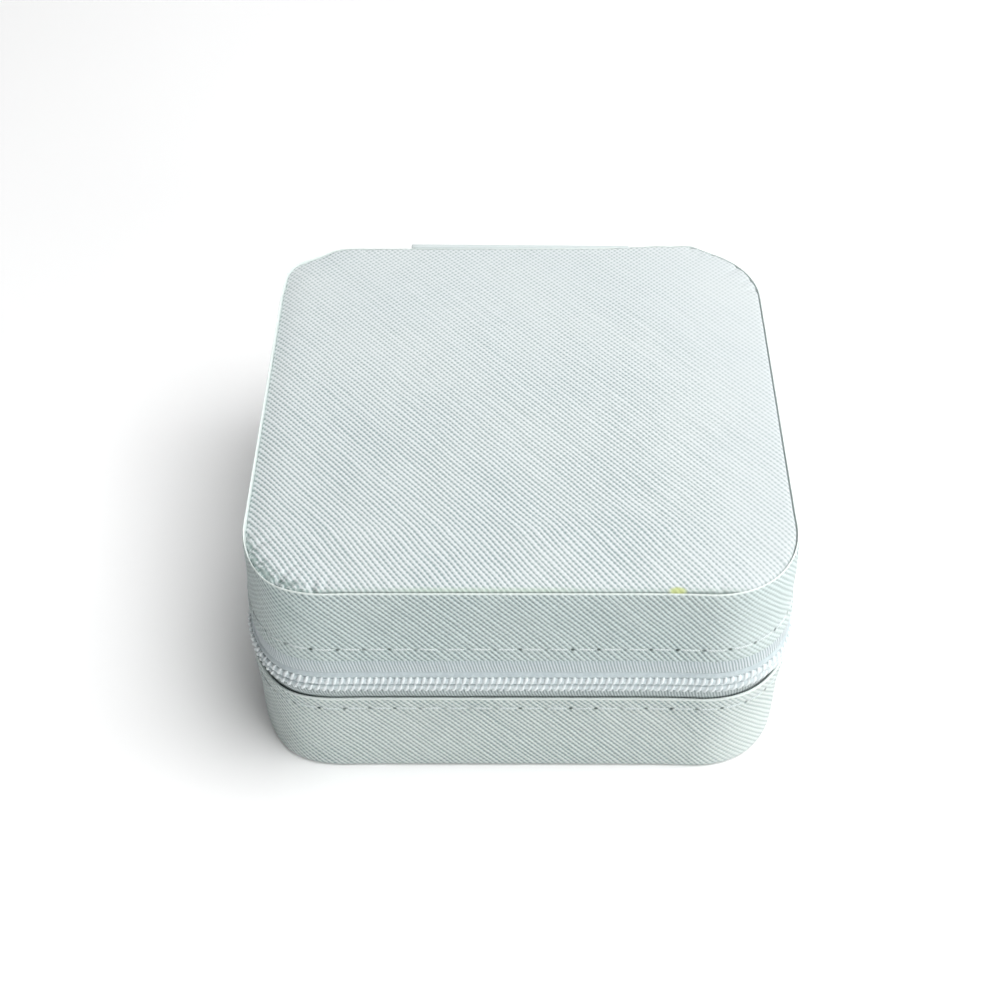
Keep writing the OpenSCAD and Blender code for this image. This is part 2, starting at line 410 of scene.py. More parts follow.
def soft_box(name, low, high, radius, cuts):
    """A box with rounded edges."""
    bm = bmesh.new()
    bmesh.ops.create_cube(bm, size=2)
    bmesh.ops.subdivide_edges(bm, edges=bm.edges, cuts=cuts, use_grid_fill=True)
    half = [(b - a) / 2 for a, b in zip(low, high)]
    middle = Vector([(b + a) / 2 for a, b in zip(low, high)])
    core = [max(h - radius, 0.0) for h in half]
    for v in bm.verts:
        place = [u * h for u, h in zip(v.co, half)]
        nearest = [max(-c, min(c, p)) for c, p in zip(core, place)]
        away = Vector([p - q for p, q in zip(place, nearest)])
        if away.length > 1e-9:
            away = away.normalized() * min(radius, min(half))
        v.co = Vector(nearest) + away + middle
    return smoothed(name, bm)


def plate(name, loops, thickness, edge, centre, axis="X"):
    """A flat metal plate with rounded edges: loops are its outline and its holes, in its own plane.

    With axis X the plate stands in the YZ plane, and with axis Z it lies in the plane XY.
    """
    curve = bpy.data.curves.new(name, "CURVE")
    curve.dimensions = "2D"
    curve.fill_mode = "BOTH"
    curve.extrude = thickness / 2 - edge
    curve.bevel_depth = edge
    curve.bevel_resolution = 2
    curve.offset = -edge
    for loop in loops:
        spline = curve.splines.new("POLY")
        spline.points.add(len(loop) - 1)
        spline.points.foreach_set("co", [c for x, y in loop for c in (x, y, 0, 1)])
        spline.use_cyclic_u = True
    draft = linked(name, curve)
    graph = bpy.context.evaluated_depsgraph_get()
    mesh = bpy.data.meshes.new_from_object(draft.evaluated_get(graph))
    bpy.data.objects.remove(draft)
    for v in mesh.vertices:
        a, b, c = v.co
        v.co = Vector(centre) + (Vector((c, a, b)) if axis == "X" else Vector((a, b, c)))
    obj = linked(name, mesh)
    bm = bmesh.new()
    bm.from_mesh(mesh)
    bmesh.ops.remove_doubles(bm, verts=bm.verts, dist=0.002 * MM)
    bmesh.ops.recalc_face_normals(bm, faces=bm.faces)
    bm.to_mesh(mesh)
    bm.free()
    return obj


def arc(x, y, radius, start, end, steps):
    """Points along an arc, its angles in degrees."""
    turns = [math.radians(start + (end - start) * k / steps) for k in range(steps + 1)]
    return [(x + radius * math.cos(t), y + radius * math.sin(t)) for t in turns]


def joined(name, *objs):
    """Several objects as one."""
    bm = bmesh.new()
    for o in objs:
        bm.from_mesh(o.data)
        bpy.data.objects.remove(o)
    return smoothed(name, bm)


# ---------------------------------------------------------------- material helpers


def srgb(r, g, b):
    """A linear colour from display values of 0 to 255."""
    return tuple(((c / 255 + 0.055) / 1.055) ** 2.4 for c in (r, g, b)) + (1.0,)


class Nodes:
    """A material with short names for making its nodes."""

    def __init__(self, name):
        self.material = bpy.data.materials.new(name)
        self.material.use_nodes = True
        self.tree = self.material.node_tree
        self.shader = self.tree.nodes["Principled BSDF"]

    def add(self, kind, **settings):
        node = self.tree.nodes.new(kind)
        for key, value in settings.items():
            setattr(node, key, value)
        return node

    def put(self, value, socket):
        """A number, colour or another node's output into an input."""
        if isinstance(value, bpy.types.NodeSocket):
            self.tree.links.new(value, socket)
        else:
            socket.default_value = value

    def math(self, operation, a, b=0.0, c=0.0):
        node = self.add("ShaderNodeMath", operation=operation)
        for value, socket in zip((a, b, c), node.inputs):
            self.put(value, socket)
        return node.outputs[0]

    def times(self, a, b):
        return self.math("MULTIPLY", a, b)

    def plus(self, a, b):
        return self.math("ADD", a, b)

    def minus(self, a, b):
        return self.math("SUBTRACT", a, b)

    def vector(self, operation, a, b=(0, 0, 0)):
        node = self.add("ShaderNodeVectorMath", operation=operation)
        self.put(a, node.inputs[0])
        self.put(b, node.inputs["Scale"] if operation == "SCALE" else node.inputs[1])
        return node.outputs["Value" if operation in ("DOT_PRODUCT", "LENGTH") else "Vector"]

    def noise(self, place, scale, detail=2.0, rough=0.5, out="Fac"):
        node = self.add("ShaderNodeTexNoise")
        self.put(place, node.inputs["Vector"])
        node.inputs["Scale"].default_value = scale
        node.inputs["Detail"].default_value = detail
        node.inputs["Roughness"].default_value = rough
        return node.outputs[out]

    def centred(self, place, scale, size):
        """A noise vector around zero, up to about size."""
        raw = self.vector("SUBTRACT", self.noise(place, scale, 1.0, out="Color"), (0.5, 0.5, 0.5))
        return self.vector("SCALE", raw, 2 * size)

    def wave(self, phase):
        """From 0 to 1 and back as phase, in turns, grows by 1."""
        return self.math("MULTIPLY_ADD", self.math("COSINE", self.times(phase, TAU)), 0.5, 0.5)

    def mix(self, factor, a, b):
        node = self.add("ShaderNodeMix", data_type="RGBA")
        self.put(factor, node.inputs[0])
        self.put(a, node.inputs[6])
        self.put(b, node.inputs[7])
        return node.outputs[2]

    def ramp(self, value, low, high, out_low=0.0, out_high=1.0):
        node = self.add("ShaderNodeMapRange", interpolation_type="SMOOTHSTEP")
        for v, socket in zip((value, low, high, out_low, out_high), node.inputs):
            self.put(v, socket)
        return node.outputs["Result"]

    def pattern(self):
        """The surface's own coordinate, in millimetres."""
        return self.add("ShaderNodeUVMap", uv_map="pattern").outputs["UV"]

    def place(self):
        """The place in the row frame at rest, in millimetres."""
        return self.vector("SCALE", self.add("ShaderNodeTexCoord").outputs["Object"], 1 / MM)

    def split(self, vector):
        node = self.add("ShaderNodeSeparateXYZ")
        self.put(vector, node.inputs[0])
        return node.outputs[0], node.outputs[1], node.outputs[2]

    def bump(self, height, distance):
        node = self.add("ShaderNodeBump")
        node.inputs["Distance"].default_value = distance
        self.put(height, node.inputs["Height"])
        return node.outputs["Normal"]

    def finish(self, colour, rough, normal=None, **fixed):
        self.put(colour, self.shader.inputs["Base Color"])
        self.put(rough, self.shader.inputs["Roughness"])
        if normal is not None:
            self.put(normal, self.shader.inputs["Normal"])
        for key, value in fixed.items():
            self.shader.inputs[key.replace("_", " ")].default_value = value
        return self.material


# ---------------------------------------------------------------- materials

# one leather in three copies: the top and the base are set lighter than the lid wall, as painted light for
# the light that falls on them from above and from the floor
LEATHER_LID = srgb(203, 215, 214)
LEATHER_BASE_LIT = srgb(209, 217, 214)
LEATHER_TOP_LIT = srgb(212, 218, 220)
# painted shade: the colour the emboss grooves are darkened to
LEATHER_GROOVE_SHADE = srgb(144, 161, 161)
# painted highlight: the light colour of the turned edges at the lid's rim and the base's top
LEATHER_EDGE_HIGHLIGHT = srgb(229, 237, 234)
STRIP_EDGE = srgb(202, 211, 211)


def stain_and_shade_top(m, uv, grain, colour):
    """The top's front edge, tinted green, with painted shade along it that deepens in its crease at the rim,
    painted shade in the folds of its front left corner, and a small spot.
    """
    u, v, _ = m.split(uv)
    along_front = m.times(m.ramp(v, -49.2, -48.0, 0.45, 0.0), m.ramp(u, -26.0, -16.0))
    tint = m.times(along_front, m.ramp(u, 4.0, 14.0, 1.0, 0.0))
    colour = m.mix(tint, colour, srgb(196, 214, 190))
    # painted shade along the front edge, darkest in the crease where the panel meets the rim
    colour = m.mix(m.ramp(v, -49.3, -48.0, 0.5, 0.0), colour, srgb(168, 184, 176))
    colour = m.mix(m.ramp(v, -49.4, -49.05, 0.75, 0.0), colour, srgb(118, 132, 128))
    # painted shade in the folds of the front left corner, in patches
    corner = m.vector("MAXIMUM", m.vector("SUBTRACT", (-33, -33, 0), uv), (0, 0, 0))
    du, dv, _ = m.split(corner)
    near_edge = m.ramp(m.vector("LENGTH", corner), 14.2, 16.4)
    painted_fold_shade = m.times(near_edge, m.ramp(m.math("MINIMUM", du, dv), 1.0, 6.0))
    patchy = m.ramp(m.noise(uv, 0.9, 2.0, 0.6), 0.4, 0.56, 0.1, 0.7)
    colour = m.mix(m.times(painted_fold_shade, patchy), colour, srgb(110, 130, 124))
    from_spot = m.vector("SUBTRACT", uv, (27.4, -49.1, 0))
    spot = m.vector("LENGTH", m.vector("MULTIPLY", from_spot, (0.62, 1.1, 0)))
    spot = m.plus(spot, m.times(grain, 0.6))
    return m.mix(m.ramp(spot, 0.5, 1.2, 0.85, 0.0), colour, srgb(186, 196, 124))


def needle_holes(m, u, v, height):
    """A row of needle holes at a height, some deeper than others."""
    turn = m.math("DIVIDE", u, STITCH / MM)
    number = m.math("ROUND", turn)
    du = m.times(m.minus(turn, number), STITCH / MM)
    dv = m.minus(v, height / MM)
    away = m.math("SQRT", m.plus(m.times(du, du), m.times(dv, dv)))
    dice = m.add("ShaderNodeTexWhiteNoise", noise_dimensions="1D")
    m.put(number, dice.inputs["W"])
    depth = m.ramp(dice.outputs["Value"], 0.0, 1.0, 0.25, 1.0)
    return m.times(m.ramp(away, 0.15, 0.5, 1.0, 0.0), depth)


def leather_material(name, ridge, holes_at=None, plain_above=None, top=False, plain=LEATHER_EDGE_HIGHLIGHT):
    """Leather embossed with two crossing sets of grooves, which leave small pillows between them; the grooves
    are darkened with painted shade.

    holes_at is the height of a row of needle holes, darkened with painted shade. Above plain_above the
    leather is smooth, in the colour plain, which by default is a painted highlight on the turned edge.
    top marks the panel, where the emboss is flatter towards the back and the right. On the walls it
    is stretched flatter round the corners.
    """
    m = Nodes(name)
    uv = m.pattern()
    drifting = m.vector("ADD", uv, m.centred(uv, 0.10, 0.28))
    place = m.vector("ADD", drifting, m.centred(uv, 1.3, 0.08))
    u, v, _ = m.split(uv)
    row = m.vector("DOT_PRODUCT", place, (0.90, 0.76, 0))  # cycles per millimetre
    notch = m.vector("DOT_PRODUCT", place, (0.77, -0.86, 0))
    if top:
        pulled = m.math("MAXIMUM", m.minus(-34.0, v), 0.0)
        row = m.math("MULTIPLY_ADD", pulled, 0.13, row)
    across = m.add("ShaderNodeCombineXYZ")
    m.put(row, across.inputs[0])
    m.put(m.times(notch, 0.05), across.inputs[1])
    uneven = m.minus(m.noise(across.outputs[0], 0.7, 1.0), 0.5)
    rows = m.math("COSINE", m.times(m.math("MULTIPLY_ADD", uneven, 0.55, row), TAU))
    notches = m.math("COSINE", m.times(m.math("MULTIPLY_ADD", uneven, 0.2, notch), TAU))
    row_share = m.ramp(v, -30.0, 46.0, 0.34, 0.13) if top else 0.37
    relief = m.plus(m.times(rows, row_share), m.times(notches, 0.14))
    strength = m.ramp(m.noise(uv, 0.16, 2.0), 0.3, 0.7, 0.88, 1.05)
    if top:
        strength = m.times(strength, m.ramp(u, 18.0, 47.0, 1.0, 0.45))
    else:
        spacing = (STRAIGHT + QUARTER) / MM
        corner = m.math("ABSOLUTE", m.minus(m.math("PINGPONG", u, spacing), spacing / 2))
        stretched = m.ramp(u, -20.0, 20.0, 0.9, 0.45)
        strength = m.times(strength, m.ramp(corner, 4.0, 16.0, stretched, 1.0))
    if plain_above is not None:
        strength = m.times(strength, m.ramp(v, plain_above, plain_above + 0.35, 1.0, 0.0))
    relief = m.times(relief, strength)
    grain = m.minus(m.noise(uv, 6.0, 3.0, 0.6), 0.5)
    height = m.plus(relief, m.math("MULTIPLY_ADD", grain, 0.12, 0.5))
    # painted shade: the grooves are darkened towards the groove colour
    colour = m.mix(m.ramp(height, 0.12, 0.62), LEATHER_GROOVE_SHADE, ridge)
    cloud = m.ramp(m.noise(uv, 0.045, 2.0), 0.3, 0.7)
    colour = m.mix(m.times(cloud, 0.10), colour, srgb(226, 229, 224))
    # above plain_above the plain colour, by default a painted highlight on the turned edge
    if plain_above is not None:
        colour = m.mix(m.ramp(v, plain_above, plain_above + 0.3), colour, plain)
    if top:
        colour = stain_and_shade_top(m, uv, grain, colour)
    if holes_at is not None:
        hole = needle_holes(m, u, v, holes_at)
        # painted shade in the needle holes, darker in the deeper ones
        colour = m.mix(hole, colour, srgb(72, 86, 84))
        height = m.minus(height, m.times(hole, 1.4))
    rough = m.ramp(height, 0.0, 1.0, 0.68, 0.5)
    return m.finish(colour, rough, m.bump(height, (0.17 if top else 0.25) * MM), Specular_IOR_Level=0.35)


def grainy_material(name, dark, light, grain, rough, relief=0.0, stretch=None, **fixed):
    """A material whose tone and relief follow one noise; grain is its scale, detail and roughness.

    rough is a number, or a range of the noise and the roughness at its two ends. stretch squeezes the
    noise along each axis.
    """
    m = Nodes(name)
    place = m.vector("MULTIPLY", m.place(), stretch) if stretch else m.place()
    cells = m.noise(place, *grain)
    tone = m.mix(m.ramp(cells, 0.3, 0.7), dark, light)
    if isinstance(rough, tuple):
        rough = m.ramp(cells, *rough)
    normal = m.bump(cells, relief) if relief else None
    return m.finish(tone, rough, normal, **fixed)


def nylon_material(name, bright, dull):
    """Slightly clouded nylon."""
    depth = {"Subsurface_Weight": 0.12, "Subsurface_Scale": 0.4 * MM, "Subsurface_Radius": (1.0, 1.0, 1.0)}
    return grainy_material(name, dull, bright, (0.8, 2.0), (0.2, 0.8, 0.42, 0.3), **depth)


def metal_material(name):
    """Bright nickel plate with faint rubbing marks."""
    dark, light = srgb(196, 198, 202), srgb(222, 223, 226)
    grain, rough = (1.0, 4.0, 0.7), (0.3, 0.8, 0.16, 0.32)
    return grainy_material(name, dark, light, grain, rough, 0.01 * MM, (2.0, 0.5, 6.0), Metallic=1.0)


def tape_material(name, ribs_from, ribs_to, valley, crest):
    """Woven zipper tape, ribbed across between two heights and smooth elsewhere."""
    m = Nodes(name)
    uv = m.pattern()
    u, v, _ = m.split(m.vector("ADD", uv, m.centred(uv, 0.5, 0.12)))
    rib = m.wave(m.math("DIVIDE", m.math("MULTIPLY_ADD", v, 0.22, u), 0.56))
    below = m.ramp(v, ribs_to - 0.3, ribs_to, 1.0, 0.0)
    inside = m.times(m.ramp(v, ribs_from, ribs_from + 0.3), below)
    rib = m.times(m.math("POWER", rib, 0.8), inside)
    thread = m.wave(m.math("DIVIDE", v, 0.24))
    weave = m.math("MULTIPLY_ADD", thread, 0.22, rib)
    tone = m.mix(m.ramp(rib, 0.05, 0.8), valley, crest)
    plain = m.mix(m.ramp(m.noise(uv, 1.2), 0.3, 0.7), srgb(184, 196, 200), srgb(196, 207, 210))
    colour = m.mix(inside, plain, tone)
    return m.finish(colour, 0.72, m.bump(weave, 0.10 * MM), Sheen_Weight=0.25)


def thread_material():
    """Twisted sewing thread."""
    m = Nodes("thread")
    x, y, z = m.split(m.place())
    twist = m.wave(m.math("DIVIDE", m.plus(m.plus(x, z), y), 0.5))
    tone = m.mix(twist, srgb(196, 207, 207), srgb(226, 233, 233))
    return m.finish(tone, 0.6, m.bump(twist, 0.05 * MM), Sheen_Weight=0.2)


def velvet_material(name, deep, light):
    """Short-pile velvet with brushed patches."""
    m = Nodes(name)
    place = m.place()
    pile = m.noise(place, 6.0, 3.0, 0.7)
    brushed = m.noise(place, 0.12, 3.0, 0.6)
    tone = m.mix(m.ramp(brushed, 0.3, 0.7), deep, light)
    tone = m.mix(m.ramp(pile, 0.35, 0.65, 0.0, 0.35), tone, deep)
    rough = m.ramp(brushed, 0.2, 0.8, 0.95, 0.8)
    return m.finish(tone, rough, m.bump(pile, 0.12 * MM), Sheen_Weight=0.6, Sheen_Roughness=0.4)


def cloth_material():
    """The pocket's satin-backed cloth."""
    m = Nodes("pocket_cloth")
    u, v, _ = m.split(m.pattern())
    warp = m.wave(m.math("DIVIDE", u, 0.42))
    weft = m.wave(m.math("DIVIDE", v, 0.42))
    weave = m.times(warp, weft)
    cloud = m.noise(m.pattern(), 0.15, 2.0)
    tone = m.mix(m.ramp(cloud, 0.3, 0.7), srgb(182, 195, 196), srgb(204, 214, 215))
    tone = m.mix(m.times(weave, 0.25), tone, srgb(226, 232, 232))
    return m.finish(tone, 0.55, m.bump(weave, 0.05 * MM), Sheen_Weight=0.4)


lid_leather = leather_material("leather_lid", LEATHER_LID, LID_STITCH_Z, 49.6)
base_leather = leather_material("leather_base", LEATHER_BASE_LIT, BASE_STITCH_Z, 20.35)
panel_leather = leather_material("leather_panel", LEATHER_TOP_LIT, top=True)
strip_leather = leather_material("leather_strip", LEATHER_LID, plain_above=49.6, plain=STRIP_EDGE)
strap_leather = grainy_material(
    "strap_leather", srgb(178, 193, 195), srgb(206, 217, 219), (2.6, 4.0, 0.65),
    (0.2, 0.8, 0.6, 0.45), 0.08 * MM, Specular_IOR_Level=0.4,
)
tape_upper_look = tape_material("tape_upper", 28.45, 36.0, srgb(160, 175, 179), srgb(208, 217, 220))
# the lower tape's ribs are a darker copy of the upper tape's: painted shade for where it lies between the
# coil and the base's edge
tape_lower_shaded_look = tape_material("tape_lower", 10.0, 23.6, srgb(138, 151, 152), srgb(188, 198, 198))
coil_look = nylon_material("coil", srgb(228, 234, 235), srgb(216, 223, 225))
cord_look = nylon_material("coil_cord", srgb(208, 218, 220), srgb(198, 209, 212))
thread_look = thread_material()
velvet = velvet_material("velvet", srgb(176, 190, 190), srgb(206, 216, 215))
pocket_look = cloth_material()
zip_metal = metal_material("zipper_metal")
snap_metal = metal_material("snap_metal")
board = grainy_material("board", srgb(156, 140, 116), srgb(188, 174, 150), (1.4, 4.0, 0.7), 0.9, 0.06 * MM)
foam = grainy_material("foam", srgb(214, 212, 200), srgb(236, 234, 224), (3.5, 3.0, 0.7), 0.95, 0.15 * MM)


def dress(obj, material):
    """Gives a new piece its material."""
    obj.data.materials.append(material)
    return obj


def place_piece(obj, material, slot, body, *nodes):
    """dress, and the piece rides on a body and stands for CAD nodes."""
    dress(obj, material)
    if nodes:
        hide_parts(*nodes)
    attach(obj, body)
    return obj


def repaint(node, material):
    """A better material on a CAD node that stays as it is."""
    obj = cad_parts[node]
    if not obj.material_slots:
        obj.data.materials.append(material)
    for entry in obj.material_slots:
        entry.material = material


# ---------------------------------------------------------------- leather walls

# Cross-sections in millimetres of offset and height, from the outer face round to the inner one
LID_WALL = section(
    [
        (0.95, 32.2), (1.1, 31.98), (1.28, 32.05), (1.34, 32.5), (1.28, 33.8), (1.1, 35.1),
        (1.08, 36.2), (0.98, 38.0), (0.8, 41.0), (0.6, 44.5), (0.36, 47.2), (0.16, 49.2),
        (0.06, 49.76), (0.0, 49.96), (-0.08, 50.0), (-0.15, 49.92), (-0.2, 49.55), (-0.26, 49.1),
    ],
    [(-0.5, 48.2), (-0.5, 37.0), (0.3, 33.6)],
)
BASE_WALL = section(
    [
        (-4.0, 0.3), (-2.0, 0.24), (-0.4, 0.25), (0.3, 0.5), (0.62, 1.1), (0.74, 2.4),
        (0.8, 5.0), (0.84, 10.0), (0.92, 14.0), (1.04, 16.4), (1.02, 17.9), (1.16, 19.2),
        (1.2, 20.2), (1.12, 20.62), (0.85, 20.79), (0.6, 20.57),
    ],
    [(0.3, 20.0), (-0.5, 15.0), (-1.1, 14.0), (-1.1, 1.0), (-4.0, 0.8)],
)


def leather_walls():
    """The leather round the lid and round the base, its edges turned in."""
    lid = sweep("lid_wall_skin", LID_WALL, stations(), level=LID_STITCH_Z)
    place_piece(lid, lid_leather, "leather", "lid", "lid_leather_wall")
    base = sweep("base_wall_skin", BASE_WALL, stations(), level=BASE_STITCH_Z)
    place_piece(base, base_leather, "leather", "base", "base_leather_wall")


def outer_offset(profile, z):
    """The outer face's offset at a height, before it settles."""
    heights = [p[1] for p in profile]
    z = max(min(heights), min(max(heights), z))
    best = -1.0
    for (o0, z0), (o1, z1) in zip(profile, profile[1:]):
        if (z0 - z) * (z1 - z) <= 0 and z0 != z1:
            best = max(best, o0 + (o1 - o0) * (z - z0) / (z1 - z0))
    return best


def stitches():
    """A row of stitches on each side of the zipper, dipping into their needle holes."""
    start = STRIP_HALF + 1.5 * MM
    rows = (
        ("lid_stitches", LID_WALL, LID_STITCH_Z, "lid"),
        ("base_stitches", BASE_WALL, BASE_STITCH_Z, "base"),
    )
    for name, profile, z, body in rows:
        dice = random.Random(len(name))
        offset = outer_offset(profile, z)
        first = math.ceil(along(start) / STITCH)
        last = math.floor(along(PERIMETER - start) / STITCH)
        lines = []
        for k in range(first, last):
            tilt = dice.uniform(-0.12, 0.12) * MM
            rise = dice.uniform(0.02, 0.16) * MM
            line = []
            for i in range(9):
                t = i / 8
                s = PERIMETER / 2 + (k + 0.06 + 0.88 * t) * STITCH
                bow = 1 - (2 * t - 1) ** 4
                height = z + tilt * (2 * t - 1)
                line.append(at(s, settle(s, offset, z) - 0.3 * MM + (0.25 * MM + 0.5 * rise) * bow, height))
            lines.append(line)
        thread = tubes(name, lines, lambda t: 0.21 * MM * (1 - 0.35 * (2 * t - 1) ** 6), 7)
        place_piece(thread, thread_look, "leather", body)


# ---------------------------------------------------------------- padded top and underside


def pleat_depth(s, inset):
    """How deep the top cover is pinched at its corners, inset from its edge."""
    spacing = STRAIGHT + QUARTER
    from_corner = abs((s - STRAIGHT / 2 - QUARTER / 2 + spacing / 2) % spacing - spacing / 2)
    on_corner = 1 - smoothstep(QUARTER * 0.40, QUARTER * 0.62, from_corner)
    fold = max(0.0, ripple(along(s), inset, 5.0, 1.7 * MM, 6 * MM) + 0.15)
    deep = 1.1 * MM if PERIMETER / 4 < s < PERIMETER / 2 else 0.35 * MM
    return on_corner * min(1.0, fold) ** 1.3 * math.exp(-inset / (1.7 * MM)) * deep


def tuck(s, inset):
    """How the top cover's edge differs round the box: outwards and up at the back, down on the left."""
    normal = rim_point(s)[1]
    back, right, left = max(0.0, normal.y), max(0.0, normal.x), max(0.0, -normal.x)
    out = (0.17 * back + 0.06 * right) * MM * math.exp(-inset / (1.2 * MM))
    up = (0.26 * back + 0.08 * right) * MM * math.exp(-inset / (1.0 * MM))
    down = 0.5 * left**2 * MM * math.exp(-((inset / (2.2 * MM)) ** 1.5))
    return out, up - down


def panel(name, edge_offset, roll, crown, uneven, pinched):
    """A padded panel that fills the box's outline: roll gives its edge as (inset, z), then it crowns.

    pinched is 1 for the top cover, whose edge is pleated at the corners and tucked in, and 0 for a plain one.
    """
    marks = stations(1.0 * MM, 60)
    inner_inset, inner_z = roll[-1]
    rings = 26
    verts = []
    for inset, z in roll:
        for s in marks:
            sink = pleat_depth(s, inset) * pinched
            out, up = tuck(s, inset)
            place = settle(s, edge_offset, z) - inset - 0.5 * sink + out * pinched
            verts.append(at(s, place, z + up * pinched - (sink if inset > 0 else 0)))
    for k in range(1, rings):
        t = 1 - k / rings
        for s in marks:
            p = at(s, settle(s, edge_offset, inner_z) - inner_inset, 0) * t
            inset = inner_inset + (RIM + edge_offset - inner_inset) * (1 - t)
            wave = ripple(p.x, p.y, 1.7, 19 * MM, 19 * MM) * uneven * smoothstep(0, 0.3, 1 - t)
            shift = tuck(s, inset)[1] - pleat_depth(s, inset)
            p.z = inner_z + crown * (1 - t * t) + wave + shift * pinched
            verts.append(p)
    n, rows = len(marks), len(roll) + rings - 1
    faces = bands(rows, n)
    verts.append(Vector((0, 0, inner_z + crown)))
    faces += [((rows - 1) * n + i, (rows - 1) * n + (i + 1) % n, len(verts) - 1) for i in range(n)]
    faces.append(tuple(range(n)))
    return outward(new_object(name, verts, faces, [(v.x, v.y) for v in verts]))


def panels():
    """The padded top and the flat underside."""
    top_roll = [
        mm(0.0, 48.25), mm(0.0, 49.3), mm(0.06, 49.58), mm(0.22, 49.78), mm(0.55, 49.9),
        mm(1.2, 49.97), mm(2.4, 50.02), mm(4.0, 50.06),
    ]
    top = panel("lid_top_skin", -0.36 * MM, top_roll, 0.3 * MM, 0.05 * MM, 1.0)
    place_piece(top, panel_leather, "leather", "lid", "lid_top_cover")
    under_roll = [mm(0.0, 0.85), mm(0.0, 0.35), mm(0.15, 0.12), mm(0.5, 0.02), mm(1.2, 0.0)]
    under = panel("base_bottom_skin", -3.0 * MM, under_roll, 0.0, 0.0, 0.0)
    place_piece(under, panel_leather, "leather", "base", "base_bottom_cover")


# ---------------------------------------------------------------- zipper


def tapes():
    """The two woven tapes: each bulges out from under its leather and ends behind the coil."""
    upper = section(
        [
            (-0.6, 37.0), (-0.2, 35.0), (0.5, 33.2), (0.95, 32.2), (1.04, 31.0), (1.0, 29.8),
            (0.92, 28.75), (0.8, 28.45), (0.92, 28.2), (1.08, 27.85), (1.12, 27.5),
            (0.98, 27.1), (0.6, 26.7), (0.2, 26.1),
        ],
        [
            (-0.4, 26.1), (-0.35, 27.3), (0.2, 28.5), (0.4, 30.0),
            (0.35, 31.6), (-0.4, 33.6), (-1.1, 35.4), (-1.1, 37.0),
        ],
    )
    lower = section(
        [
            (0.1, 24.9), (0.35, 24.1), (0.62, 23.5), (0.78, 22.8), (0.76, 22.1), (0.6, 21.5),
            (0.25, 21.0), (-0.2, 20.0), (-0.5, 17.0), (-0.6, 14.2),
        ],
        [
            (-1.1, 14.2), (-1.0, 17.0), (-0.8, 20.0), (-0.5, 21.2),
            (0.0, 22.3), (-0.1, 23.2), (-0.5, 24.2), (-0.5, 24.9),
        ],
    )
    marks = stations(start=TAPE_END, end=PERIMETER - TAPE_END)
    tape = sweep("zipper_tape_upper_skin", upper, marks, closed=False, level=30 * MM)
    place_piece(tape, tape_upper_look, "zipper_tape", "lid", "zipper_tape_upper")
    tape = sweep("zipper_tape_lower_skin", lower, marks, closed=False, level=22 * MM)
    place_piece(tape, tape_lower_shaded_look, "zipper_tape", "base", "zipper_tape_lower")


def coils():
    """Each row is one nylon strand wound into loops round a cord, its heads between the other row's."""
    steps = 14
    start = STRIP_HALF + 0.45 * MM
    loops = int((PERIMETER - 2 * start) / COIL_PITCH)
    rows = (
        ("upper", 26.52 * MM, 26.26 * MM, 0.76 * MM, 0.0, 0.02, "lid"),
        ("lower", 24.55 * MM, 24.74 * MM, 0.72 * MM, 0.5, 0.13, "base"),
    )
    for name, middle, core_z, rise, phase, slant, body in rows:
        line, cord, sizes = [], [], []
        for i in range(loops * steps):
            turn = i / steps
            angle = TAU * turn
            s = start + (turn + phase + slant * math.sin(angle)) * COIL_PITCH
            centre = settle(s, 0.85 * MM, SEAM)
            front = max(0.0, math.cos(angle))
            line.append(at(s, centre + 0.48 * MM * math.cos(angle), middle + rise * math.sin(angle)))
            sizes.append((0.24 + 0.17 * front) * MM)
            if i % (steps // 2) == 0:
                cord.append(at(s, centre - 0.1 * MM, core_z))
        last = len(line) - 1
        strand = tubes(f"zipper_coil_{name}_strand", [line], lambda t: sizes[round(t * last)])
        core = tubes(f"zipper_coil_{name}_cord", [cord], lambda t: 0.75 * MM, 12)
        place_piece(strand, coil_look, "zipper_coil", body, f"zipper_coil_{name}")
        place_piece(core, cord_look, "zipper_coil", body)


def zipper_end_stops():
    """The metal stops at the zipper's two ends."""
    low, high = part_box("zipper_stops")
    width = 1.2 * MM
    parts = [
        soft_box("stop", (x, low[1], low[2]), (x + width, high[1], high[2]), 0.3 * MM, 6)
        for x in (low[0], high[0] - width)
    ]
    place_piece(joined("zipper_stop_crimps", *parts), zip_metal, "zipper_metal", "base", "zipper_stops")


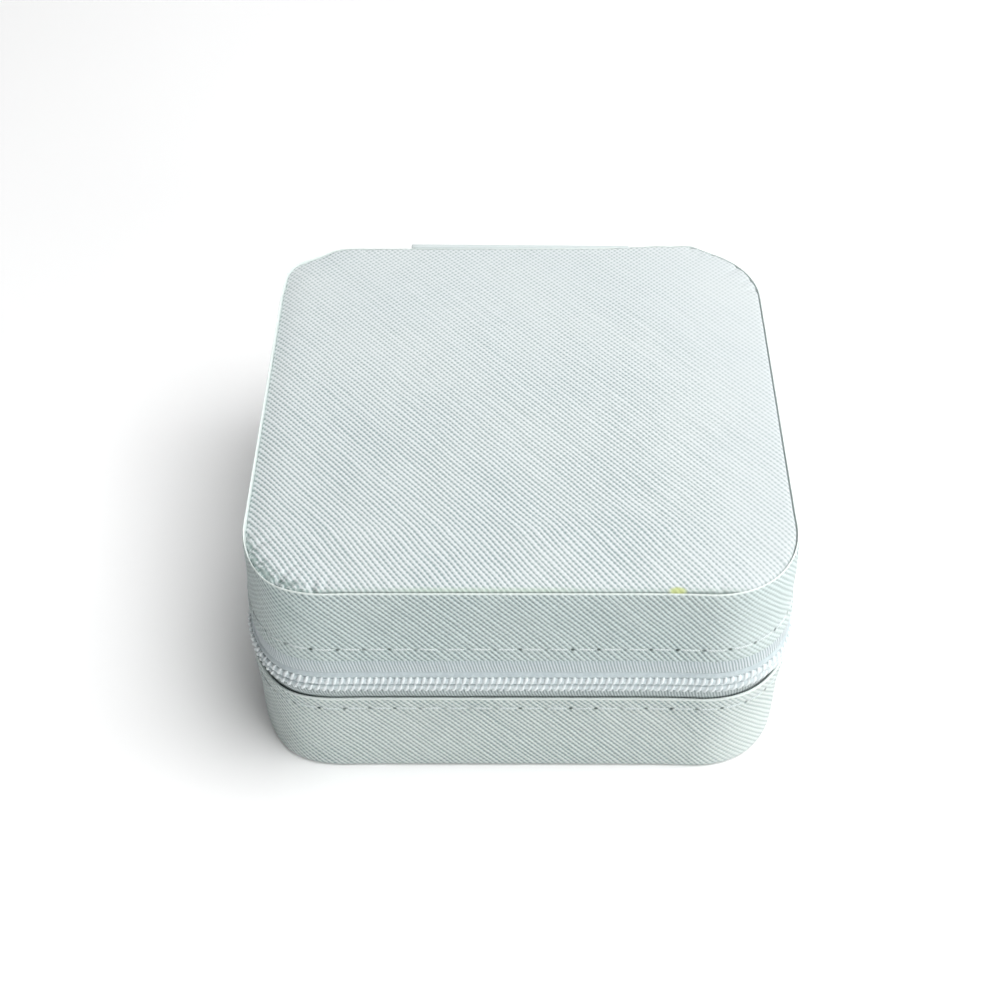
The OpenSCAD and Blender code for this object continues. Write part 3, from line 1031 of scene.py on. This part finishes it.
def slider():
    """The slider's two plates, bridge, lower flange and bail, and its pull."""
    low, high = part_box("zipper_slider")
    length = high[1] - low[1]
    y = (low[1] + high[1]) / 2
    width = 6.2 * MM
    centre = SEAM
    nose = width / 2
    tail = width / 2 - 0.5 * MM
    corner = 0.8 * MM
    outline = arc(length / 2 - nose, 0, nose, -90, 90, 20)
    outline += arc(-length / 2 + corner, tail - corner, corner, 90, 180, 6)
    outline += arc(-length / 2 + corner, -tail + corner, corner, 180, 270, 6)
    inner_x = low[0]
    outer_x = low[0] + 3.8 * MM
    outer_t = 0.7 * MM
    face = outer_x + outer_t
    parts = [
        plate("inner", [outline], 0.6 * MM, 0.12 * MM, (inner_x + 0.3 * MM, y, centre)),
        plate("outer", [outline], outer_t, 0.2 * MM, (outer_x + outer_t / 2, y, centre)),
        soft_box(
            "bridge",
            (inner_x + 0.3 * MM, y + length / 2 - 3 * MM, centre - 0.3 * MM),
            (face - 0.2 * MM, y + length / 2 - 1 * MM, centre + 0.3 * MM),
            0.1 * MM,
            4,
        ),
        soft_box(
            "flange",
            (outer_x - 1.9 * MM, low[1], centre - 3.5 * MM),
            (face - 0.1 * MM, low[1] + length - nose, centre - 2.9 * MM),
            0.22 * MM,
            8,
        ),
    ]
    reach = high[0] - face
    foot = 0.55 * MM
    half = 3.2 * MM
    bend = 0.9 * MM
    bow = arc(half - bend, reach - bend, bend, 0, 90, 8)
    bow += arc(-half + bend, reach - bend, bend, 90, 180, 8)
    under = arc(-half + bend, reach - bend, bend - foot, 180, 90, 8)
    under += arc(half - bend, reach - bend, bend - foot, 90, 0, 8)
    root = -0.2 * MM
    arch = [(half, root)] + bow + [(-half, root), (-half + foot, root)] + under + [(half - foot, root)]
    bail = plate("bail", [arch], 1.2 * MM, 0.15 * MM, (0, 0, 0), "Z")
    for v in bail.data.vertices:
        v.co = Vector((face + v.co.y, y + v.co.x, centre + v.co.z))
    parts.append(bail)
    place_piece(joined("slider_body", *parts), zip_metal, "zipper_metal", "slider", "zipper_slider")

    pull_low, pull_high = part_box("zipper_pull")
    x = (pull_low[0] + pull_high[0]) / 2
    thick = pull_high[0] - pull_low[0]
    pivot = pull_high[1] - thick / 2
    reach = pivot - pull_low[1]
    half = (pull_high[2] - pull_low[2]) / 2
    neck = half - 0.7 * MM
    body = arc(-reach + half, 0, half, 90, 270, 24)
    body += [(-reach + half + 5 * MM, -half), (-4.6 * MM, -neck), (0.35 * MM, -neck)]
    body += [(0.35 * MM, neck), (-4.6 * MM, neck), (-reach + half + 5 * MM, half)]
    window = [(-0.55 * MM, -1.5 * MM), (-0.55 * MM, 1.5 * MM)]
    window += arc(-3.6 * MM, 0.7 * MM, 0.8 * MM, 90, 180, 6)
    window += arc(-3.6 * MM, -0.7 * MM, 0.8 * MM, 180, 270, 6)
    hole = arc(-reach + half, 0, 1.3 * MM, 0, 345, 23)
    plate_part = plate("pull", [body, window, hole], thick, 0.2 * MM, (x, pivot, centre))
    place_piece(plate_part, zip_metal, "zipper_metal", "pull", "zipper_pull")


# ---------------------------------------------------------------- hinge strip


def strip_offset(x, z):
    """How far the hinge strip's inner face stands off the rim line: it lies on both walls."""
    lid = settle(x, outer_offset(LID_WALL, max(z, 32.4 * MM)), z)
    base = settle(x, outer_offset(BASE_WALL, min(z, 20.2 * MM)), z)
    share = smoothstep(20.2 * MM, 32.4 * MM, z)
    return base * (1 - share) + lid * share + 0.03 * MM


def hinge_strip():
    """One piece of leather down the back, sewn to both halves."""
    rows, columns = 61, 33
    bottom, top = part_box("hinge_strip_lower")[0][2], TOP
    thick = STRIP_HIGH[1] - STRIP_LOW[1]

    def place(r, c, outer):
        x = STRIP_HALF * (2 * c / (columns - 1) - 1)
        leftward = 0.5 - x / STRIP_HALF / 2
        z = bottom + (top + 0.2 * MM * leftward - bottom) * r / (rows - 1)
        # the upper end is turned over, so it is thicker, and stands off a little
        upper_end = smoothstep(42 * MM, 49 * MM, z)
        out = 0.08 * leftward * MM * upper_end
        if outer:
            out += thick + (0.15 + 0.3 * leftward) * MM * upper_end
        return Vector((x, RIM + strip_offset(abs(x), z) + out, z))

    strip = grid("hinge_strip_skin", rows, columns, place, 0, 2)
    bevelled(strip, 0.22 * MM)
    dress(strip, strip_leather)
    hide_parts("hinge_strip_lower", "hinge_strip_upper")
    lines = []
    pitch = 3.2 * MM
    for x in (-STRIP_HALF + 2 * MM, STRIP_HALF - 2 * MM):
        for k in range(int((top - bottom - 3 * MM) / pitch)):
            line = []
            for i in range(7):
                t = i / 6
                z = bottom + 1.5 * MM + (k + 0.07 + 0.86 * t) * pitch
                bow = 1 - (2 * t - 1) ** 4
                y = RIM + strip_offset(abs(x), z) + thick - 0.25 * MM + 0.3 * MM * bow
                line.append(Vector((x, y, z)))
            lines.append(line)
    seam = dress(tubes("hinge_strip_stitches", lines, lambda t: 0.19 * MM), thread_look)

    half, foot, height = mm(21.5, 17, 20)

    def inside(r, c, outer):
        y = RIM - (0.9 if outer else 1.15) * MM
        return Vector(((c - 1) * half, y, foot + height * r / 30))

    lining = grid("hinge_lining", 31, 3, inside, 0, 2)
    dress(lining, velvet)
    for piece in (strip, seam, lining):
        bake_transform(piece)


# ---------------------------------------------------------------- base interior


def linings():
    """Velvet on the inside of both walls, turned over the boards' edges."""
    base = section(
        [
            (-4.0, 18.6), (-4.0, 19.6), (-3.9, 20.25), (-3.4, 20.65),
            (-2.4, 20.75), (-1.6, 20.65), (-1.28, 20.4),
        ],
        [(-1.28, 20.2), (-3.35, 20.2), (-3.4, 2.7), (-4.0, 2.7)],
    )
    lid = section(
        [(-4.0, 34.2), (-4.0, 33.0), (-3.9, 32.4), (-3.4, 32.0), (-2.4, 31.9), (-1.6, 32.0), (-1.28, 32.2)],
        [(-1.28, 32.4), (-3.35, 32.4), (-3.4, 46.1), (-4.0, 46.1)],
    )
    marks = stations(3 * MM, 16)
    lining = sweep("base_lining_skin", base, marks, soft=False)
    place_piece(lining, velvet, "velvet", "base", "base_wall_lining")
    lining = sweep("lid_lining_skin", lid, marks, soft=False)
    place_piece(lining, velvet, "velvet", "lid", "lid_wall_lining")
    for node in ("base_floor_lining", "lid_ceiling_lining"):
        repaint(node, velvet)


def back_reach(x, half, radius):
    """How far back a rounded outline of that half-width goes at x."""
    over = abs(x) - (half - radius)
    return half if over <= 0 else half - radius + math.sqrt(max(0.0, radius**2 - over**2))


def ring_rolls():
    """Eight velvet rolls side by side; rings are pushed between them."""
    names = sorted((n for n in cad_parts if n.startswith("ring_roll_")), key=lambda n: int(n[10:]))
    rows, around = 30, 40
    cap = 2.6 * MM
    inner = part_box("base_floor_lining")[1][0] - 0.3 * MM
    # each roll fills its share of the width, so that neighbours press together
    pitch = 2 * inner / len(names)
    for number, node in enumerate(names):
        low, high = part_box(node)
        x = -inner + pitch * (number + 0.5)
        half_w, half_h = pitch / 2, (high[2] - low[2]) / 2
        middle = (high[2] + low[2]) / 2
        verts = []
        for r in range(rows):
            t = r / (rows - 1)
            from_end = min(t, 1 - t) * (high[1] - low[1])
            shrink = math.sqrt(max(0.0, 1 - (1 - min(1, from_end / cap)) ** 2)) * 0.9 + 0.1
            for k in range(around):
                angle = TAU * k / around
                c, s = math.cos(angle), math.sin(angle)
                # a rounded rectangle, squarer below than above
                power = 2 / 2.5 if s > 0 else 2 / 6
                px = math.copysign(abs(c) ** (2 / 3.2), c) * half_w * (0.55 + 0.45 * shrink)
                pz = math.copysign(abs(s) ** power, s) * half_h
                wobble = ripple(t * 40 * MM, number * 9 * MM, 2.2, 13 * MM, 9 * MM) * 0.12 * MM
                if s > 0:
                    pz = pz * (0.72 + 0.28 * shrink) + wobble * s
                back = back_reach(x + px, inner, LINING_CORNER)
                y = low[1] + (back - low[1]) * t
                verts.append(Vector((x + px, y, middle + pz)))
        faces = bands(rows, around)
        faces += [tuple(range(around)), tuple(range((rows - 1) * around, rows * around))]
        roll = outward(new_object(f"{node}_cover", verts, faces))
        place_piece(roll, velvet, "velvet", "base", node)


def dividers():
    """The partition in front of the rolls, and the two dividers that lift out."""
    low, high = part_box("ring_partition")
    wall = soft_box("ring_partition_cover", low, high, 0.8 * MM, 24)
    place_piece(wall, velvet, "velvet", "base", "ring_partition")
    for side in ("left", "right"):
        node = f"divider_{side}"
        low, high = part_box(node)
        cover = soft_box(f"{node}_cover", low, high, 0.8 * MM, 20)
        place_piece(cover, velvet, "velvet", node, node)


# ---------------------------------------------------------------- lid interior


def pocket_depth(x, v, half, phase):
    """How far the pocket's cloth hangs off the ceiling; v runs from its mouth to its back edge."""
    across = 1 - (abs(x) / half) ** 8
    back = 1 - smoothstep(0.55, 1.0, v)
    gathers = math.cos(TAU * x / (4.6 * MM) + 2.2 * ripple(x, v, phase, 14 * MM, 1))
    bulge = (3.9 * MM - 0.9 * MM * v) * across * back
    return 0.35 * MM + bulge + gathers * (0.62 * math.exp(-2.4 * v) + 0.08) * MM * across * back


def pocket():
    """The gathered pocket and its elastic hem."""
    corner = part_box("elastic_pocket")[1]
    half = corner[0] - 0.4 * MM
    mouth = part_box("pocket_hem")[0][1]
    rows, columns = 40, 241

    def point(r, c, outer):
        x = half * (2 * c / (columns - 1) - 1)
        v = r / (rows - 1)
        y = mouth + 1.5 * MM + (back_reach(x, corner[1], 10 * MM) - mouth - 1.5 * MM) * v
        thick = 0.3 * MM if outer else 0
        return Vector((x, y, CEILING - pocket_depth(x, v, half, 4.4) - thick))

    cloth = grid("pocket_sheet", rows, columns, point, 0, 1)
    place_piece(cloth, pocket_look, "pocket_cloth", "lid", "elastic_pocket")
    around = 12
    verts, uvs = [], []
    for c in range(columns):
        x = half * (2 * c / (columns - 1) - 1)
        middle = CEILING - pocket_depth(x, 0.0, half, 4.4) - 0.15 * MM
        for k in range(around):
            turn = TAU * k / around
            y = mouth + 1.7 * MM + math.cos(turn) * 1.6 * MM
            verts.append(Vector((x, y, middle + math.sin(turn) * 0.5 * MM)))
            uvs.append((x, k * 0.8 * MM))
    faces = bands(columns, around)
    faces += [tuple(range(around)), tuple(range((columns - 1) * around, columns * around))]
    hem = outward(new_object("pocket_hem_band", verts, faces, uvs))
    place_piece(hem, pocket_look, "pocket_cloth", "lid", "pocket_hem")


def snap(side, x, y, low, high):
    """A strap's cap, and the stud on the ceiling for it; low and high are the strap's two faces."""
    cap_low, cap_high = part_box(f"snap_cap_{side}")
    radius = (cap_high[0] - cap_low[0]) / 2
    bottom, top = cap_low[2], cap_high[2]
    dome = [
        (0, bottom), (0.45 * radius, bottom + 0.02 * MM), (0.78 * radius, bottom + 0.12 * MM),
        (0.94 * radius, bottom + 0.3 * MM), (radius, bottom + 0.55 * MM), (0.96 * radius, low),
        (1.2 * MM, low), (1.2 * MM, high), (3.0 * MM, high), (3.2 * MM, high + 0.2 * MM),
        (3.2 * MM, top - 0.15 * MM), (2.9 * MM, top), (2.2 * MM, top),
        (1.98 * MM, top - 0.15 * MM), (1.98 * MM, high + 0.2 * MM), (0, high + 0.2 * MM),
    ]
    cap = lathe(f"snap_cap_{side}_dome", dome, (x, y))
    place_piece(cap, snap_metal, "snap_metal", f"strap_{side}", f"snap_cap_{side}")
    stud_low, stud_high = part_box("snap_studs")
    bottom, top = stud_low[2], stud_high[2]
    stud = [
        (0, bottom), (1.2 * MM, bottom), (1.5 * MM, bottom + 0.12 * MM),
        (1.6 * MM, bottom + 0.3 * MM), (1.35 * MM, bottom + 0.6 * MM),
        (2.6 * MM, top - 0.38 * MM), (3.1 * MM, top - 0.25 * MM), (3.2 * MM, top), (0, top),
    ]
    post = lathe(f"snap_stud_{side}", stud, (x, y))
    place_piece(post, snap_metal, "snap_metal", "lid", "snap_studs")


def straps():
    """Each strap hangs from a sewn anchor by its own leather, and carries the cap of a snap."""
    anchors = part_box("strap_anchors")
    for side in ("left", "mid", "right"):
        node = f"strap_{side}"
        low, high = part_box(node)
        x, half = (low[0] + high[0]) / 2, (high[0] - low[0]) / 2
        seat = high[1] - half
        root = anchors[0][1] + 0.2 * MM
        rows, columns = 40, 13

        def point(r, c, outer):
            t = r / (rows - 1)
            y = root + (high[1] - root) * t
            beyond = max(0.0, y - seat)
            wide = math.sqrt(max(0.0, half**2 - beyond**2)) if beyond else half
            z = low[2] if outer else high[2]
            return Vector((x + wide * (2 * c / (columns - 1) - 1) * 0.999, y, z))

        strap = grid(f"{node}_leather", rows, columns, point, 0, 1)
        dress(strap, strap_leather)
        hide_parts(node)
        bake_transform(strap)
        anchor = soft_box(
            f"strap_anchor_{side}",
            (low[0], anchors[0][1], high[2]),
            (high[0], anchors[1][1], CEILING),
            0.35 * MM,
            12,
        )
        place_piece(anchor, strap_leather, "leather", "lid", "strap_anchors")
        box_stitch(f"strap_anchor_{side}_stitches", low, high, anchors)
        snap(side, x, seat, low[2], high[2])


def box_stitch(name, low, high, anchors):
    """A rectangle of stitches that holds an anchor and its strap."""
    inset = 1.1 * MM
    x0, x1 = low[0] + inset, high[0] - inset
    y0, y1 = anchors[0][1] + inset, anchors[1][1] - inset * 0.6
    z = low[2]
    corners = [(x0, y0), (x1, y0), (x1, y1), (x0, y1)]
    lines = []
    for (ax, ay), (bx, by) in zip(corners, corners[1:] + corners[:1]):
        count = max(1, round(math.hypot(bx - ax, by - ay) / (1.9 * MM)))
        for k in range(count):
            line = []
            for i in range(5):
                t = (k + 0.08 + 0.84 * i / 4) / count
                bow = 1 - (i / 2 - 1) ** 4
                line.append(Vector((ax + (bx - ax) * t, ay + (by - ay) * t, z + 0.12 * MM - 0.2 * MM * bow)))
            lines.append(line)
    place_piece(tubes(name, lines, lambda t: 0.16 * MM), thread_look, "leather", "lid")


# ---------------------------------------------------------------- stage


def stage():
    """A plain pale floor, soft lights and the camera."""
    world = bpy.data.worlds.new("studio")
    bpy.context.scene.world = world
    world.use_nodes = True
    tree = world.node_tree
    background = tree.nodes["Background"]
    sky = tree.nodes.new("ShaderNodeTexCoord")
    split = tree.nodes.new("ShaderNodeSeparateXYZ")
    tree.links.new(sky.outputs["Generated"], split.inputs[0])
    # a pale band along the horizon, dimmer on the left
    strength = tree.nodes.new("ShaderNodeMath")
    strength.operation = "MULTIPLY"
    for number, axis, values in ((0, 0, (-0.8, 0.5, 0.35, 1.0)), (1, 2, (0.03, 0.30, 0.55, 0.07))):
        ramp = tree.nodes.new("ShaderNodeMapRange")
        tree.links.new(split.outputs[axis], ramp.inputs["Value"])
        for socket, value in zip(ramp.inputs[1:5], values):
            socket.default_value = value
        tree.links.new(ramp.outputs["Result"], strength.inputs[number])
    tree.links.new(strength.outputs[0], background.inputs["Strength"])
    background.inputs["Color"].default_value = (0.97, 0.985, 1.0, 1)
    size = 3.0
    corners = [(-size, -size, 0), (size, -size, 0), (size, size, 0), (-size, size, 0)]
    floor = new_object("floor", corners, [(0, 1, 2, 3)])
    m = Nodes("floor")
    cloud = m.noise(m.place(), 0.01, 2.0)
    tone = m.mix(cloud, (0.88, 0.88, 0.88, 1), (0.91, 0.91, 0.91, 1))
    m.finish(tone, 0.85, Emission_Strength=0.10, Emission_Color=(1, 1, 1, 1))
    floor.data.materials.append(m.material)
    lamps = (
        ("overhead", (0.32, -0.10, 0.86), 10.8, 0.7, (1, 1, 1)),
        ("right", (0.90, -0.08, 0.28), 0.9, 0.4, (1, 1, 1)),
        ("front", (0.46, -0.76, 0.28), 2.25, 0.35, (0.97, 1.0, 0.985)),
        ("back", (0.10, 0.95, 0.40), 1.8, 0.5, (1, 1, 1)),
    )
    for name, where, power, width, colour in lamps:
        light = bpy.data.lights.new(name, "AREA")
        light.color = colour
        light.energy = power
        light.size = width
        lamp = linked(name, light)
        lamp.location = where
        aim = Vector((0, 0, 0.03)) - Vector(where)
        lamp.rotation_euler = aim.to_track_quat("-Z", "Y").to_euler()
    camera = bpy.data.cameras.new("camera")
    camera.lens = 60
    camera.sensor_width = 36
    camera.shift_x = -0.0098
    camera.shift_y = 0.0080
    camera.clip_start = 0.01
    eye = linked("camera", camera)
    eye.location = (0.00022, -0.24289, 0.26532)
    eye.rotation_euler = tuple(math.radians(a) for a in (44.82, 0.287, 0.274))
    bpy.context.scene.camera = eye
    bpy.context.scene.view_settings.view_transform = "Standard"


stage()
leather_walls()
stitches()
panels()
tapes()
coils()
zipper_end_stops()
slider()
hinge_strip()
linings()
ring_rolls()
dividers()
pocket()
straps()
for name in ("base_bottom_board", "base_wall_board", "lid_top_board", "lid_wall_board"):
    repaint(name, board)
repaint("lid_top_pad", foam)
